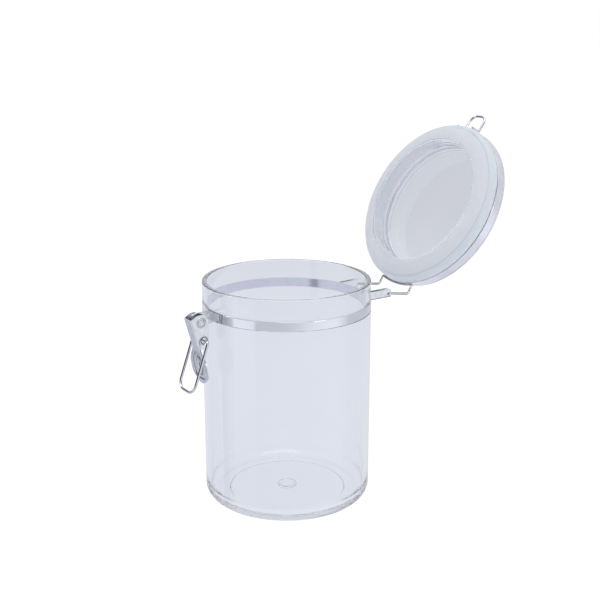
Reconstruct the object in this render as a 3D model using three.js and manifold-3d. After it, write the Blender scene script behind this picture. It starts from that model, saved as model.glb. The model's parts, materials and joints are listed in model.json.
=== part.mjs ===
// Clip-top storage canister: a clear jar with a steel neck band, a hinged clear lid with a
// seal and a steel band, and a wire bail clamp. Millimetres, +Z up, the origin on the centre of
// the underside, +Y towards the hinge and -Y towards the clamp. The lid stands open.
import * as THREE from 'three';
import * as BufferGeometryUtils from 'three/addons/utils/BufferGeometryUtils.js';
import Module from 'manifold-3d';

const wasm = await Module();
wasm.setup();

// ---- jar ----
const JAR_R = 62.3;
const RIM_R = 62.0;
const JAR_INNER_R = 58.5;
const JAR_H = 167.7;
const BASE_CORNER_R = 11;
const FLOOR_TOP = 5;
const INNER_CORNER_R = 9;
const FOOT_INNER_R = 44.4;
const FOOT_RECESS = 0.8;
const GATE_R = 6;
const SHEET = 0.8;
const GAP = 0.3;

// ---- neck band ----
const BAND_Z0 = 145.7;
const BAND_Z1 = 152.4;
const BAND_R = 62.3;

// ---- hinge ----
const PIN_Y = 80.4;
const PIN_Z = 148.0;
const LID_OPEN_DEG = 119.2;
const WIRE_R = 1.0;
const LEG_X = 18.05;

// ---- lid, drawn closed: heights are above the jar rim ----
const LID_R = 66.8;
const SKIRT_Z = -6.2;
const SKIRT_INNER_R = 63.2;
const SEAT_Z = 1.6;
const SEAT_R = 62.7;
const PLUG_Z = -11.3;
const PLUG_INNER_R = 50.4;
const RECESS_Z = 8.2;
const SHOULDER_Z = 8.0;
const PANEL_Z = 11.2;
const PANEL_R = 54.4;
const LID_BAND_Z0 = -0.8;
const LID_BAND_Z1 = 6.2;
const LID_BAND_R = 66.7;

// ---- clamp ----
const RIVET_Y = -75.0;
const RIVET_Z = 147.4;
const EYE_Y = -72.6;
const EYE_Z = 134.0;
const LEVER_HALF = 5.3;
const EAR_OUT = LEVER_HALF - SHEET - GAP;
const BAIL_HALF = 10.7;
const BAIL_LENGTH = 38.4;
const BAIL_LEAN_DEG = 19.65;
const THUMB_HALF = 11.7;
const THUMB_LENGTH = 25.0;

const JAR_SEGMENTS = 72;
const LID_SEGMENTS = 64;

const rad = THREE.MathUtils.degToRad;

// Turns a drawing in the Y-Z plane, extruded along its own third axis, to stand across X.
const ACROSS_X = new THREE.Matrix4().makeBasis(
  new THREE.Vector3(0, 1, 0),
  new THREE.Vector3(0, 0, 1),
  new THREE.Vector3(1, 0, 0),
);

// Turns the closed lid about the hinge pin to where it stands open.
const OPEN_LID = new THREE.Matrix4()
  .makeTranslation(0, PIN_Y, PIN_Z)
  .multiply(new THREE.Matrix4().makeRotationX(-rad(LID_OPEN_DEG)))
  .multiply(new THREE.Matrix4().makeTranslation(0, -PIN_Y, -PIN_Z));

function weld(geometry) {
  const bare = geometry.clone();
  bare.deleteAttribute('normal');
  bare.deleteAttribute('uv');
  return BufferGeometryUtils.mergeVertices(bare, 1e-4);
}

function toManifold(geometry) {
  const g = weld(geometry);
  const mesh = new wasm.Mesh({
    numProp: 3,
    vertProperties: new Float32Array(g.attributes.position.array),
    triVerts: new Uint32Array(g.index.array),
  });
  return new wasm.Manifold(mesh);
}

function fromManifold(solid) {
  const mesh = solid.getMesh();
  const geometry = new THREE.BufferGeometry();
  geometry.setAttribute('position', new THREE.BufferAttribute(mesh.vertProperties, 3));
  geometry.setIndex(new THREE.BufferAttribute(mesh.triVerts, 1));
  geometry.computeVertexNormals();
  return geometry;
}

function joinAll(geometries) {
  const solids = geometries.map(toManifold);
  return solids.reduce((a, b) => a.add(b));
}

function cutAll(solid, geometries) {
  return geometries.map(toManifold).reduce((a, b) => a.subtract(b), solid);
}

// A ring or disc of revolution about Z from points given as [radius, height].
// The points run anticlockwise with the radius to the right and the height up.
function revolve(points, segments) {
  const geometry = new THREE.LatheGeometry(
    points.map(([r, z]) => new THREE.Vector2(r, z)),
    segments,
  );
  geometry.rotateX(Math.PI / 2);
  return weld(geometry);
}

function closed(points) {
  return [...points, points[0]];
}

// Points of an arc about (cr, cz), from one angle to another in degrees.
function arc(cr, cz, radius, from, to, steps) {
  const points = [];
  for (let i = 0; i <= steps; i += 1) {
    const a = rad(from + ((to - from) * i) / steps);
    points.push([cr + radius * Math.cos(a), cz + radius * Math.sin(a)]);
  }
  return points;
}

// An outline in the Y-Z plane with rounded corners, from [y, z, corner radius].
function outline(corners) {
  const shape = new THREE.Shape();
  const n = corners.length;
  corners.forEach(([y, z, r = 0], i) => {
    const here = new THREE.Vector2(y, z);
    const before = new THREE.Vector2(...corners[(i + n - 1) % n].slice(0, 2));
    const after = new THREE.Vector2(...corners[(i + 1) % n].slice(0, 2));
    const start = here.clone().add(before.sub(here).setLength(r));
    const end = here.clone().add(after.sub(here).setLength(r));
    if (i === 0) {
      shape.moveTo(start.x, start.y);
    } else {
      shape.lineTo(start.x, start.y);
    }
    if (r > 0) {
      shape.quadraticCurveTo(here.x, here.y, end.x, end.y);
    }
  });
  shape.closePath();
  return shape;
}

// A plate standing in the Y-Z plane between two X positions.
function plateYZ(shape, x0, x1, curveSegments = 4) {
  const geometry = new THREE.ExtrudeGeometry(shape, {
    depth: x1 - x0,
    bevelEnabled: false,
    curveSegments,
  });
  geometry.translate(0, 0, x0);
  geometry.applyMatrix4(ACROSS_X);
  return geometry;
}

function boxBetween(x0, x1, y0, y1, z0, z1) {
  const geometry = new THREE.BoxGeometry(x1 - x0, y1 - y0, z1 - z0);
  geometry.translate((x0 + x1) / 2, (y0 + y1) / 2, (z0 + z1) / 2);
  return geometry;
}

function rodAlongX(y, z, radius, x0, x1, segments = 20) {
  const geometry = new THREE.CylinderGeometry(radius, radius, x1 - x0, segments);
  geometry.rotateZ(Math.PI / 2);
  geometry.translate((x0 + x1) / 2, y, z);
  return geometry;
}

function rodAlongZ(radius, z0, z1, segments = 120) {
  const geometry = new THREE.CylinderGeometry(radius, radius, z1 - z0, segments);
  geometry.rotateX(Math.PI / 2);
  geometry.translate(0, 0, (z0 + z1) / 2);
  return geometry;
}

// A round wire through [x, y, z, bend radius] corners.
function wire(corners, steps, sides = 5) {
  const path = new THREE.CurvePath();
  const at = corners.map(([x, y, z]) => new THREE.Vector3(x, y, z));
  let from = at[0];
  for (let i = 1; i < at.length - 1; i += 1) {
    const bend = corners[i][3] ?? 0;
    const into = at[i].clone().add(at[i - 1].clone().sub(at[i]).setLength(bend));
    const out = at[i].clone().add(at[i + 1].clone().sub(at[i]).setLength(bend));
    if (from.distanceTo(into) > 0.01) {
      path.add(new THREE.LineCurve3(from, into));
    }
    path.add(new THREE.QuadraticBezierCurve3(into, at[i], out));
    from = out;
  }
  path.add(new THREE.LineCurve3(from, at[at.length - 1]));
  const section = new THREE.Shape();
  section.absarc(0, 0, WIRE_R, 0, Math.PI * 2, false);
  return new THREE.ExtrudeGeometry(section, {
    steps,
    bevelEnabled: false,
    curveSegments: sides,
    extrudePath: path,
  });
}

// ---- jar ----
function jarBody() {
  const grooveR = BAND_R - SHEET - GAP;
  const profile = [
    [0, 0],
    [GATE_R, 0],
    [GATE_R + 0.6, FOOT_RECESS],
    [FOOT_INNER_R - 0.8, FOOT_RECESS],
    [FOOT_INNER_R, 0],
    ...arc(JAR_R - BASE_CORNER_R, BASE_CORNER_R, BASE_CORNER_R, -90, 0, 6),
    [JAR_R, BAND_Z0 - GAP],
    [grooveR, BAND_Z0 - GAP],
    [grooveR, BAND_Z1 + GAP],
    [RIM_R, BAND_Z1 + GAP],
    [RIM_R, JAR_H - 0.6],
    [RIM_R - 0.6, JAR_H],
    [JAR_INNER_R + 0.6, JAR_H],
    [JAR_INNER_R, JAR_H - 0.6],
    ...arc(JAR_INNER_R - INNER_CORNER_R, FLOOR_TOP + INNER_CORNER_R, INNER_CORNER_R, 0, -90, 5),
    [0, FLOOR_TOP],
  ];
  return revolve(profile, JAR_SEGMENTS);
}

function neckBand() {
  const inner = BAND_R - SHEET;
  const ring = closed([
    [inner, BAND_Z0],
    [BAND_R, BAND_Z0],
    [BAND_R, BAND_Z1],
    [inner, BAND_Z1],
  ]);
  return revolve(ring, JAR_SEGMENTS);
}

// The strip of a bracket that lies on the neck band, between two X positions.
function bracketFoot(x0, x1, side) {
  const inner = BAND_R + GAP;
  const outer = inner + SHEET;
  const y0 = side > 0 ? 40 : -90;
  const y1 = side > 0 ? 90 : -40;
  const sheet = toManifold(rodAlongZ(outer, BAND_Z0, BAND_Z1))
    .intersect(toManifold(boxBetween(x0, x1, y0, y1, BAND_Z0 - 1, BAND_Z1 + 1)));
  return cutAll(sheet, [rodAlongZ(inner, BAND_Z0 - 2, BAND_Z1 + 2)]);
}

// A sheet channel, open at the top and the outer end, that carries one end of the hinge wire.
function hingeBracket(side) {
  const inX = LEG_X - WIRE_R - 0.35;
  const outX = LEG_X + WIRE_R + 0.35;
  const z0 = 145.2;
  const z1 = 151.8;
  const end = PIN_Y + 2.2;
  const between = (a, b) => (side > 0 ? [a, b] : [-b, -a]);
  const cheek = outline([
    [55, z0],
    [end, z0, 0.8],
    [end, z1, 1.2],
    [55, z1],
  ]);
  const channel = joinAll([
    plateYZ(cheek, ...between(inX - SHEET, inX)),
    plateYZ(cheek, ...between(outX, outX + SHEET)),
    boxBetween(...between(inX - SHEET / 2, outX + SHEET / 2), 55, end - 0.9, z0, z0 + SHEET),
  ]);
  const arms = cutAll(channel, [
    rodAlongZ(BAND_R + GAP, z0 - 2, z1 + 2),
    rodAlongX(PIN_Y, PIN_Z, WIRE_R + 0.35, ...between(outX - 0.5, outX + SHEET + 0.5)),
  ]);
  return fromManifold(arms.add(bracketFoot(...between(12.0, 24.0), 1)));
}

// Two ears on a foot; the lever swings on the rivet through the ears.
function latchBracket() {
  const ear = outline([
    [-55, 145.8],
    [-69, 145.0, 2],
    [-72.0, 143.7, 2],
    [-79.0, 143.7, 3.4],
    [-79.0, 151.2, 3.6],
    [-73.0, 152.3, 1.5],
    [-55, 152.3],
  ]);
  const ears = joinAll([
    plateYZ(ear, EAR_OUT - SHEET, EAR_OUT),
    plateYZ(ear, -EAR_OUT, -EAR_OUT + SHEET),
  ]);
  const drilled = cutAll(ears, [
    rodAlongZ(BAND_R + GAP, 140, 156),
    rodAlongX(RIVET_Y, RIVET_Z, 1.9, -10, 10),
  ]);
  return fromManifold(drilled.add(bracketFoot(-8.9, 8.9, -1)));
}

function leverRivet() {
  const shank = 1.6;
  const head = 2.5;
  const inside = LEVER_HALF + GAP;
  const profile = [
    [0, -inside - 0.9],
    [head - 0.8, -inside - 0.8],
    [head, -inside - 0.3],
    [head, -inside],
    [shank, -inside],
    [shank, inside],
    [head, inside],
    [head, inside + 0.3],
    [head - 0.8, inside + 0.8],
    [0, inside + 0.9],
  ];
  const geometry = revolve(profile, 24);
  geometry.rotateY(Math.PI / 2);
  geometry.translate(0, RIVET_Y, RIVET_Z);
  return geometry;
}

// ---- lid, drawn closed and then turned open ----
// The seal's outer face keeps outside the circle that the hinge sweeps past the jar's mouth.
function sealReach(z) {
  const corner = Math.hypot(PIN_Y - JAR_INNER_R, JAR_H - PIN_Z) + GAP;
  const height = JAR_H + z - PIN_Z;
  return PIN_Y - Math.sqrt(corner * corner - height * height);
}

function lidShell() {
  const h = JAR_H;
  const grooveR = LID_BAND_R - SHEET - GAP;
  const tip = sealReach(PLUG_Z);
  const profile = [
    [0, RECESS_Z],
    [PLUG_INNER_R - 0.8, RECESS_Z],
    [PLUG_INNER_R, RECESS_Z - 0.8],
    [PLUG_INNER_R, PLUG_Z + 0.5],
    [PLUG_INNER_R + 0.4, PLUG_Z],
    [tip - 0.3, PLUG_Z],
    [tip - 0.1, PLUG_Z + 0.5],
    [tip - 0.1, PLUG_Z + 1.6],
    [53.0, SEAT_Z - 1.0],
    [53.0, SEAT_Z],
    [SEAT_R, SEAT_Z],
    [SKIRT_INNER_R, SKIRT_Z + 0.8],
    [SKIRT_INNER_R + 0.8, SKIRT_Z],
    [LID_R - 0.8, SKIRT_Z],
    [LID_R, SKIRT_Z + 0.8],
    [LID_R, LID_BAND_Z0 - GAP],
    [grooveR, LID_BAND_Z0 - GAP],
    [grooveR, LID_BAND_Z1 + GAP],
    [LID_R - 0.4, LID_BAND_Z1 + GAP],
    [LID_R - 0.4, SHOULDER_Z - 0.8],
    [LID_R - 1.2, SHOULDER_Z],
    [PANEL_R + 1.8, SHOULDER_Z],
    [PANEL_R, PANEL_Z - 1.0],
    [PANEL_R - 1.2, PANEL_Z],
    [0, PANEL_Z],
  ];
  return revolve(profile.map(([r, z]) => [r, z + h]), LID_SEGMENTS).applyMatrix4(OPEN_LID);
}

// A soft ring with a flange that meets the rim and a tapered sleeve round the plug.
function lidSeal() {
  const h = JAR_H;
  const low = PLUG_Z + 2.2;
  const innerAt = (z) => 53.0 + GAP + ((z - SEAT_Z + 1) / (PLUG_Z + 1.6 - SEAT_Z + 1)) * -1.5;
  const outer = [];
  for (let z = low; z < 0; z += 2.2) {
    outer.push([sealReach(z) - 0.05, z]);
  }
  const profile = closed([
    [innerAt(low), low],
    ...outer,
    [sealReach(0) - 0.05, 0],
    [sealReach(0) - 0.05, GAP],
    [RIM_R + 0.2, GAP],
    [RIM_R + 0.2, SEAT_Z - GAP],
    [53.0 + GAP, SEAT_Z - GAP],
  ]);
  return revolve(profile.map(([r, z]) => [r, z + h]), LID_SEGMENTS).applyMatrix4(OPEN_LID);
}

function lidBand() {
  const inner = LID_BAND_R - SHEET;
  const ring = closed([
    [inner, LID_BAND_Z0],
    [LID_BAND_R, LID_BAND_Z0],
    [LID_BAND_R, LID_BAND_Z1],
    [inner, LID_BAND_Z1],
  ]);
  return revolve(ring.map(([r, z]) => [r, z + JAR_H]), LID_SEGMENTS).applyMatrix4(OPEN_LID);
}

// One wire: a pin end in each bracket, two legs and the run round the back of the lid band.
function hingeWire() {
  const runR = LID_BAND_R + GAP + WIRE_R;
  const runZ = JAR_H + 0.2;
  const half = Math.asin(LEG_X / runR);
  const run = [];
  const bends = 6;
  for (let i = 0; i <= bends; i += 1) {
    const a = half - (2 * half * i) / bends;
    const bend = i === 0 || i === bends ? 1.0 : 1.6;
    run.push([runR * Math.sin(a), runR * Math.cos(a), runZ, bend]);
  }
  const end = (s) => [
    [s * 21.2, PIN_Y, PIN_Z],
    [s * LEG_X, PIN_Y, PIN_Z, 0.9],
    [s * LEG_X, PIN_Y - 7.0, runZ - 0.4, 2.4],
  ];
  return wire([...end(1), ...run, ...end(-1).reverse()], 84).applyMatrix4(OPEN_LID);
}

// The loop at the front of the lid band that the bail pulls on.
function catchWire() {
  const half = 8.3;
  const face = -Math.sqrt((LID_BAND_R + GAP + WIRE_R) ** 2 - (half - 1) ** 2);
  const low = JAR_H + 0.6;
  const high = JAR_H + 8.4;
  const reach = -81.4;
  const tip = JAR_H + 10.9;
  return wire([
    [half, face, low],
    [half, face, high, 1.8],
    [half - 0.6, reach, tip, 5.2],
    [-half + 0.6, reach, tip, 5.2],
    [-half, face, high, 1.8],
    [-half, face, low],
  ], 56).applyMatrix4(OPEN_LID);
}

// ---- lever ----
function lever() {
  const front = [
    [-83.1, 149.5, 0.6],
    [-76.7, 127.0],
  ];
  const cheek = outline([
    ...front,
    [-70.2, 127.8, 1.6],
    [-68.8, 132.0, 1.5],
    [-69.2, 149.0, 2.0],
    [-73.5, 152.8, 2.0],
    [-77.5, 152.6, 2.0],
  ]);
  const inside = outline([
    [-82.35, 149.9],
    [-75.3, 125.0],
    [-60, 125],
    [-60, 160],
    [-82.35, 160],
  ]);
  const channel = toManifold(plateYZ(cheek, -LEVER_HALF, LEVER_HALF, 6));
  const hollow = plateYZ(inside, -LEVER_HALF + SHEET, LEVER_HALF - SHEET);
  const sides = cutAll(channel, [
    hollow,
    rodAlongX(RIVET_Y, RIVET_Z, 1.9, -10, 10),
    rodAlongX(EYE_Y, EYE_Z, WIRE_R + 0.35, -10, 10, 16),
  ]);
  return fromManifold(sides.add(toManifold(thumbPlate())));
}

// The thumb plate runs on down from the front of the channel and leans in towards the jar.
function thumbPlate() {
  const h = THUMB_HALF;
  const l = THUMB_LENGTH;
  const shape = outline([
    [-5.0, 1.2],
    [-6.2, -1.8, 1.5],
    [-h, -9.8, 4.5],
    [-h, -l + 4.0, 5.5],
    [0, -l - 2.0, 7.0],
    [h, -l + 4.0, 5.5],
    [h, -9.8, 4.5],
    [6.2, -1.8, 1.5],
    [5.0, 1.2],
  ]);
  const geometry = new THREE.ExtrudeGeometry(shape, {
    depth: SHEET,
    bevelEnabled: false,
    curveSegments: 5,
  });
  geometry.rotateX(Math.PI / 2);
  geometry.translate(0, SHEET, 0);
  geometry.rotateX(rad(8.8));
  geometry.translate(0, -76.6, 127.6);
  return geometry;
}

function bail() {
  const a = rad(BAIL_LEAN_DEG);
  const down = (s) => [EYE_Y - s * Math.sin(a), EYE_Z - s * Math.cos(a)];
  const end = LEVER_HALF - SHEET - 0.5;
  return wire([
    [end, EYE_Y, EYE_Z],
    [BAIL_HALF, EYE_Y, EYE_Z, 1.8],
    [BAIL_HALF, ...down(BAIL_LENGTH), 6.5],
    [-BAIL_HALF, ...down(BAIL_LENGTH), 6.5],
    [-BAIL_HALF, EYE_Y, EYE_Z, 1.8],
    [-end, EYE_Y, EYE_Z],
  ], 64);
}

// ---- assembly ----
function material(color, metalness, roughness, opacity = 1) {
  return new THREE.MeshStandardMaterial({
    color,
    metalness,
    roughness,
    opacity,
    transparent: opacity < 1,
  });
}

const CLEAR = () => material(0xdde2ea, 0.0, 0.08, 0.35);
const SILICONE = () => material(0xe4e8ee, 0.0, 0.45, 0.7);
const STEEL = () => material(0xc6c8cd, 1.0, 0.22);
const WIRE = () => material(0xcfd1d6, 1.0, 0.15);

const PIECES = [
  ['jar', jarBody(), CLEAR()],
  ['neck_band', neckBand(), STEEL()],
  ['hinge_bracket_right', hingeBracket(1), STEEL()],
  ['hinge_bracket_left', hingeBracket(-1), STEEL()],
  ['latch_bracket', latchBracket(), STEEL()],
  ['lever_rivet', leverRivet(), STEEL()],
  ['lid_shell', lidShell(), CLEAR()],
  ['lid_seal', lidSeal(), SILICONE()],
  ['lid_band', lidBand(), STEEL()],
  ['hinge_wire', hingeWire(), WIRE()],
  ['catch_wire', catchWire(), WIRE()],
  ['lever', lever(), STEEL()],
  ['bail', bail(), WIRE()],
];

const canister = new THREE.Group();
canister.name = 'food_canister';
PIECES.forEach(([name, geometry, look]) => {
  const mesh = new THREE.Mesh(geometry, look);
  mesh.name = name;
  canister.add(mesh);
});

export default canister;
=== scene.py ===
"""Clip-top storage canister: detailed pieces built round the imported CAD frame, in metres."""

import json
import math

import bmesh
import bpy
from mathutils import Matrix, Vector


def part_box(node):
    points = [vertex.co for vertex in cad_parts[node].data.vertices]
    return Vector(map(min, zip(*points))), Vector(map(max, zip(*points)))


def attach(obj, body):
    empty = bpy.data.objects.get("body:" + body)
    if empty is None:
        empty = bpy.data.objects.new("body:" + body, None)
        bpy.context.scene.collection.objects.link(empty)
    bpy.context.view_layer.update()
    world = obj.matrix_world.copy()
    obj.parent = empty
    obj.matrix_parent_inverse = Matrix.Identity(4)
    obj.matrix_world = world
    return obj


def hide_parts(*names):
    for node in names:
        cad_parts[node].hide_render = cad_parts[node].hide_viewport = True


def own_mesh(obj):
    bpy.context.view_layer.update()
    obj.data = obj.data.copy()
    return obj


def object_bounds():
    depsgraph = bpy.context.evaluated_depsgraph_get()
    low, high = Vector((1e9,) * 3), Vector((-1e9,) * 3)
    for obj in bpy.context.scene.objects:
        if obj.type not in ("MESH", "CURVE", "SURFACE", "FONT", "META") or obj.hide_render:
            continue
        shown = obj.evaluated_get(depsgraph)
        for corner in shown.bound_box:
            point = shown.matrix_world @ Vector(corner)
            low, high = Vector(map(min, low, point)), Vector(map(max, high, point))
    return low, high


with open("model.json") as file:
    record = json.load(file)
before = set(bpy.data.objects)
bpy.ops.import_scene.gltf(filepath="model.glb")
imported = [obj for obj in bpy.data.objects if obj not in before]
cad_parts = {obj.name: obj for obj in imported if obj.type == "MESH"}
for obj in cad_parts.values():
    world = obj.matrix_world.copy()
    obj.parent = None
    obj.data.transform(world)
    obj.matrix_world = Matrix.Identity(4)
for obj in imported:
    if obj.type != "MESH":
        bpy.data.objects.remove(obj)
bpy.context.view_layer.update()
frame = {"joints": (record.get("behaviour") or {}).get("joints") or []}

MM = 0.001
TAU = 2 * math.pi

joints = {j["name"]: j for j in frame["joints"]}
PIN = Vector(joints["lid_hinge"]["pos_m"]) / MM
LID_OPEN = math.radians(joints["lid_hinge"]["range_deg"][1])
RIVET = Vector(joints["lever_pivot"]["pos_m"]) / MM
EYE = Vector(joints["bail_pivot"]["pos_m"]) / MM

# ---------------------------------------------------------------- sizes, from the frame, in mm
jar_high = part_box("jar")[1]
JAR_R = jar_high.x / MM
JAR_H = jar_high.z / MM
RIM_R = JAR_R - 0.3
INNER_R = RIM_R - 3.5
band_low, band_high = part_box("neck_band")
BAND_Z0, BAND_Z1 = band_low.z / MM, band_high.z / MM
BAND_R = band_high.x / MM
SHEET = 0.8
GAP = 0.3
LID_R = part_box("lid_shell")[1].x / MM
LID_BAND_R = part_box("lid_band")[1].x / MM
WIRE_R = 1.0
WIRE_SIDES = 20
WIRE_CAP = 0.35
SHEET_EDGE = 0.14
# Name of the vertex value that paints dark shade into pressed creases.
CREASE_SHADE = "crease_painted_shade"
LEG_X = 18.05
LEVER_HALF = 5.3

# The closed lid is drawn above the jar's rim and then turned open about the hinge pin.
OPEN = Matrix.Translation(PIN) @ Matrix.Rotation(-LID_OPEN, 4, "X") @ Matrix.Translation(-PIN)
CLOSED_AT = Matrix.Translation((0, 0, JAR_H))
LID = OPEN @ CLOSED_AT


# ---------------------------------------------------------------- mesh helpers
def arc_between(before, here, after, radius, steps):
    """The points of a true arc that rounds one corner of a path."""
    a = (before - here).normalized()
    b = (after - here).normalized()
    angle = a.angle(b)
    if radius <= 0 or angle > math.pi - 1e-3:
        return [here]
    shorter = min((before - here).length, (after - here).length)
    reach = min(radius / math.tan(angle / 2), shorter * 0.499)
    radius = reach * math.tan(angle / 2)
    centre = here + (a + b).normalized() * (radius / math.sin(angle / 2))
    start = here + a * reach - centre
    end = here + b * reach - centre
    turn = start.angle(end)
    points = []
    for i in range(steps + 1):
        t = i / steps
        between = start * math.sin((1 - t) * turn) + end * math.sin(t * turn)
        points.append(centre + between / math.sin(turn))
    return points


def rounded(corners, closed=True, steps=5):
    """Corners as (x, y, radius) or (x, y) to a list of 2-D points with filleted corners."""
    pts = [Vector((c[0], c[1], 0)) for c in corners]
    out = []
    n = len(pts)
    for i, c in enumerate(corners):
        radius = c[2] if len(c) > 2 else 0.0
        if not closed and i in (0, n - 1):
            out.append(pts[i])
            continue
        out += arc_between(pts[i - 1], pts[i], pts[(i + 1) % n], radius, steps)
    return [(p.x, p.y) for p in out]


def route(corners, steps=9):
    """Corners as (x, y, z, bend radius) to a 3-D path with filleted bends."""
    pts = [Vector(c[:3]) for c in corners]
    out = [pts[0]]
    for i in range(1, len(pts) - 1):
        radius = corners[i][3] if len(corners[i]) > 3 else 0.0
        out += arc_between(pts[i - 1], pts[i], pts[i + 1], radius, steps)
    out.append(pts[-1])
    return out


def new_piece(name, bm, matrix=None, smooth_angle=38):
    """A mesh object from a bmesh in millimetres, smooth except at real edges."""
    if matrix is not None:
        bm.transform(matrix)
    bm.transform(Matrix.Scale(MM, 4))
    bmesh.ops.recalc_face_normals(bm, faces=bm.faces)
    mesh = bpy.data.meshes.new(name)
    bm.to_mesh(mesh)
    bm.free()
    mesh.shade_smooth()
    mesh.set_sharp_from_angle(angle=math.radians(smooth_angle))
    obj = bpy.data.objects.new(name, mesh)
    bpy.context.scene.collection.objects.link(obj)
    return obj


def supported(profile, closed):
    """Adds a point close to each end of every long straight run.

    Smooth shading then stays true along it, which keeps the edges of clear walls bright."""
    near, long = 0.12, 0.9
    out = []
    count = len(profile)
    for k in range(count if closed else count - 1):
        a, b = Vector(profile[k]), Vector(profile[(k + 1) % count])
        out.append(tuple(a))
        length = (b - a).length
        if length > long:
            step = (b - a) / length
            out.append(tuple(a + step * near))
            out.append(tuple(b - step * near))
    if not closed:
        out.append(tuple(profile[-1]))
    return out


def lathe(name, profile, closed, segments=256, matrix=None):
    """Turns a profile of (radius, height) about Z. An open profile starts and ends on the axis."""
    profile = supported(profile, closed)
    bm = bmesh.new()
    uv = bm.loops.layers.uv.new("UVMap")
    run = [0.0]
    for a, b in zip(profile, profile[1:] + profile[:1]):
        run.append(run[-1] + math.hypot(b[0] - a[0], b[1] - a[1]))
    rings = []
    for r, z in profile:
        if r < 1e-6:
            rings.append([bm.verts.new((0, 0, z))] * segments)
            continue
        turns = [TAU * i / segments for i in range(segments)]
        rings.append([bm.verts.new((r * math.cos(t), r * math.sin(t), z)) for t in turns])
    count = len(rings)
    for k in range(count if closed else count - 1):
        lower, upper = rings[k], rings[(k + 1) % count]
        for i in range(segments):
            j = (i + 1) % segments
            corners = [(lower[i], i, k), (lower[j], i + 1, k)]
            corners += [(upper[j], i + 1, k + 1), (upper[i], i, k + 1)]
            unique = []
            for v, a, b in corners:
                if v not in [u[0] for u in unique]:
                    unique.append((v, a, b))
            if len(unique) < 3:
                continue
            face = bm.faces.new([u[0] for u in unique])
            for loop, (_, a, b) in zip(face.loops, unique):
                loop[uv].uv = (a / segments, run[b] / 100)
    return new_piece(name, bm, matrix)


def sweep(name, path, matrix=None):
    """A round wire along a path, with softly domed ends."""
    sides, radius = WIRE_SIDES, WIRE_R
    bm = bmesh.new()
    uv = bm.loops.layers.uv.new("UVMap")
    tangents = []
    for i, p in enumerate(path):
        a = path[max(i - 1, 0)]
        b = path[min(i + 1, len(path) - 1)]
        tangents.append((b - a).normalized())
    normal = tangents[0].orthogonal().normalized()
    stations = []
    for i, (p, t) in enumerate(zip(path, tangents)):
        if i:
            normal = (tangents[i - 1].rotation_difference(t) @ normal).normalized()
        stations.append((p, t, normal.copy(), radius))
    p0, t0, n0, _ = stations[0]
    p1, t1, n1, _ = stations[-1]

    def dome(point, outward, tangent, normal, k):
        away = outward * WIRE_CAP * radius * math.sqrt(1 - (1 - k) ** 2)
        return (point + away, tangent, normal, radius * (0.35 + 0.65 * k))

    front = [dome(p0, -t0, t0, n0, k) for k in (0.0, 0.45, 0.8)]
    back = [dome(p1, t1, t1, n1, k) for k in (0.8, 0.45, 0.0)]
    stations = front + stations + back
    rings, along = [], 0.0
    previous = None
    for p, t, n, r in stations:
        if previous is not None:
            along += (p - previous).length
        previous = p
        side = t.cross(n).normalized()
        ring = []
        for i in range(sides):
            around = n * math.cos(TAU * i / sides) + side * math.sin(TAU * i / sides)
            ring.append(bm.verts.new(p + around * r))
        rings.append((ring, along))
    for (ra, da), (rb, db) in zip(rings, rings[1:]):
        for i in range(sides):
            j = (i + 1) % sides
            face = bm.faces.new((ra[i], ra[j], rb[j], rb[i]))
            for loop, value in zip(face.loops, ((i, da), (i + 1, da), (i + 1, db), (i, db))):
                loop[uv].uv = (value[0] / sides, value[1] / 100)
    bm.faces.new(list(reversed(rings[0][0])))
    bm.faces.new(rings[-1][0])
    return new_piece(name, bm, matrix, 50)


def soften_edges(obj):
    """Rounds a sheet's sharp edges, as a modifier."""
    bevel = obj.modifiers.new("edge", "BEVEL")
    bevel.width = SHEET_EDGE * MM
    bevel.segments = 2
    bevel.limit_method = "ANGLE"
    bevel.angle_limit = math.radians(60)
    return obj


def sheet_metal(name, grid, creases=None):
    """A plate of even thickness about a grid of mid-surface points, with rounded edges.

    A grid of crease values from 0 to 1 marks the pressed corners where dark shade is painted."""
    rows, cols = len(grid), len(grid[0])
    bm = bmesh.new()
    uv = bm.loops.layers.uv.new("UVMap")
    crease = bm.verts.layers.float.new(CREASE_SHADE)

    def at(i, j):
        return grid[min(max(i, 0), rows - 1)][min(max(j, 0), cols - 1)]

    half = SHEET / 2
    top, low = [], []
    for i in range(rows):
        top.append([])
        low.append([])
        for j in range(cols):
            du = at(i + 1, j) - at(i - 1, j)
            dv = at(i, j + 1) - at(i, j - 1)
            n = du.cross(dv)
            n = n.normalized() if n.length > 1e-9 else Vector((0, -1, 0))
            top[-1].append(bm.verts.new(at(i, j) + n * half))
            low[-1].append(bm.verts.new(at(i, j) - n * half))
            # The crease value paints shade: the pressed material darkens where it is high.
            if creases:
                top[-1][-1][crease] = low[-1][-1][crease] = creases[i][j]

    def face(verts, where):
        f = bm.faces.new(verts)
        for loop, (a, b) in zip(f.loops, where):
            loop[uv].uv = (a / rows, b / cols)

    for i in range(rows - 1):
        for j in range(cols - 1):
            where = ((i, j), (i + 1, j), (i + 1, j + 1), (i, j + 1))
            face([top[a][b] for a, b in where], where)
            face([low[a][b] for a, b in reversed(where)], tuple(reversed(where)))
    border = [(i, 0) for i in range(rows)] + [(rows - 1, j) for j in range(1, cols)]
    border += [(i, cols - 1) for i in range(rows - 2, -1, -1)]
    border += [(0, j) for j in range(cols - 2, 0, -1)]
    for (a, b), (c, d) in zip(border, border[1:] + border[:1]):
        face([top[a][b], low[a][b], low[c][d], top[c][d]], ((a, b), (a, b), (c, d), (c, d)))
    return soften_edges(new_piece(name, bm, smooth_angle=40))


def bake(obj):
    """Applies an object's modifiers to its mesh."""
    dg = bpy.context.evaluated_depsgraph_get()
    dg.update()
    mesh = bpy.data.meshes.new_from_object(obj.evaluated_get(dg))
    old = obj.data
    obj.modifiers.clear()
    obj.data = mesh
    bpy.data.meshes.remove(old)
    return obj


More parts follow.
